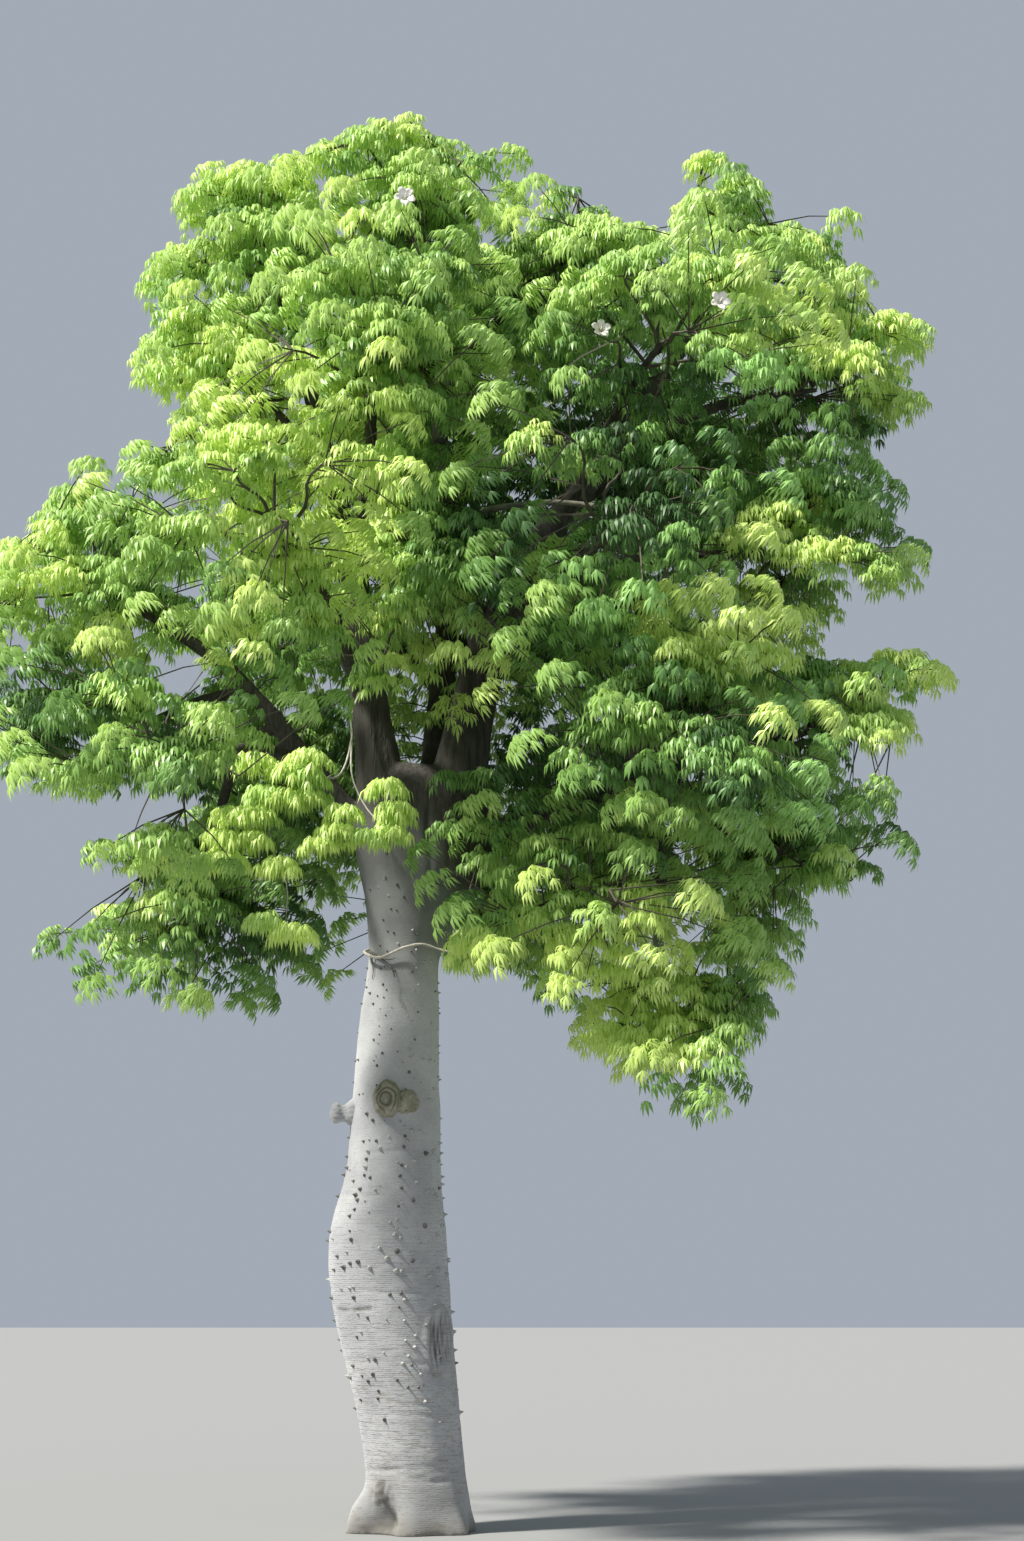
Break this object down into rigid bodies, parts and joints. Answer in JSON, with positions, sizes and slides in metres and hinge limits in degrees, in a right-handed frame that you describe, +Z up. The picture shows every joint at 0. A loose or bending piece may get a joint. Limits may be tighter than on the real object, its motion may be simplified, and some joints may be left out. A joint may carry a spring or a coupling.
{
  "type": "large floss-silk tree",
  "caption": "Big tree with a prickly bottle-shaped grey trunk, forking limbs and a broad open crown of drooping palmate leaves in flat tiers, cut flat at ground level",
  "frame": {"origin": "on the flat cut under the trunk, at ground level, under the middle of the trunk's upper half", "axes": "+Z up along the trunk, +X to the viewer's right, and -Y towards the viewer: the front as pictured"},
  "size_m": [7.6246, 6.1935, 10.5161],
  "materials": {
    "bark_pale": "matte",
    "bark_brown": "matte",
    "leaves_sunlit": "satin",
    "leaves_shaded": "satin"
  },
  "bodies": {
    "root": {"back_limb": "bark_pale", "bough_lower_back_left": "bark_brown", "bough_lower_back_right": "bark_brown", "bough_lower_front_left": "bark_brown", "bough_lower_front_right": "bark_brown", "bough_lower_left": "bark_brown", "bough_middle_back_left": "bark_brown", "bough_middle_back_right": "bark_brown", "bough_middle_front": "bark_brown", "bough_middle_front_left": "bark_brown", "bough_middle_front_right": "bark_brown", "bough_middle_right": "bark_brown", "bough_skirt_back": "bark_brown", "bough_skirt_front_right": "bark_brown", "bough_skirt_left": "bark_brown", "bough_skirt_low_right": "bark_brown", "bough_skirt_right": "bark_brown", "bough_top_centre_right": "bark_brown", "bough_upper_back_left": "bark_brown", "bough_upper_back_right": "bark_brown", "bough_upper_front_left": "bark_brown", "bough_upper_front_right": "bark_brown", "bough_upper_left": "bark_brown", "bough_upper_right": "bark_brown", "leader": "bark_brown", "leaves_lower_back_left": "leaves_sunlit", "leaves_lower_back_right": "leaves_shaded", "leaves_lower_front_left": "leaves_sunlit", "leaves_lower_front_right": "leaves_shaded", "leaves_lower_left": "leaves_sunlit", "leaves_lower_right": "leaves_shaded", "leaves_middle_back_left": "leaves_sunlit", "leaves_middle_back_right": "leaves_shaded", "leaves_middle_front": "leaves_sunlit", "leaves_middle_front_left": "leaves_sunlit", "leaves_middle_front_right": "leaves_shaded", "leaves_middle_left": "leaves_sunlit", "leaves_middle_right": "leaves_shaded", "leaves_skirt_back": "leaves_sunlit", "leaves_skirt_front_right": "leaves_shaded", "leaves_skirt_left": "leaves_sunlit", "leaves_skirt_low_right": "leaves_shaded", "leaves_skirt_right": "leaves_shaded", "leaves_top_back": "leaves_sunlit", "leaves_top_centre": "leaves_sunlit", "leaves_top_centre_right": "leaves_sunlit", "leaves_top_left": "leaves_sunlit", "leaves_top_right": "leaves_sunlit", "leaves_upper_back_left": "leaves_sunlit", "leaves_upper_back_right": "leaves_shaded", "leaves_upper_front_left": "leaves_sunlit", "leaves_upper_front_right": "leaves_shaded", "leaves_upper_left": "leaves_sunlit", "leaves_upper_right": "leaves_shaded", "left_limb": "bark_pale", "left_low_limb": "bark_pale", "right_limb": "bark_pale", "right_low_limb": "bark_pale", "trunk": "bark_pale"}
  },
  "joints": []
}
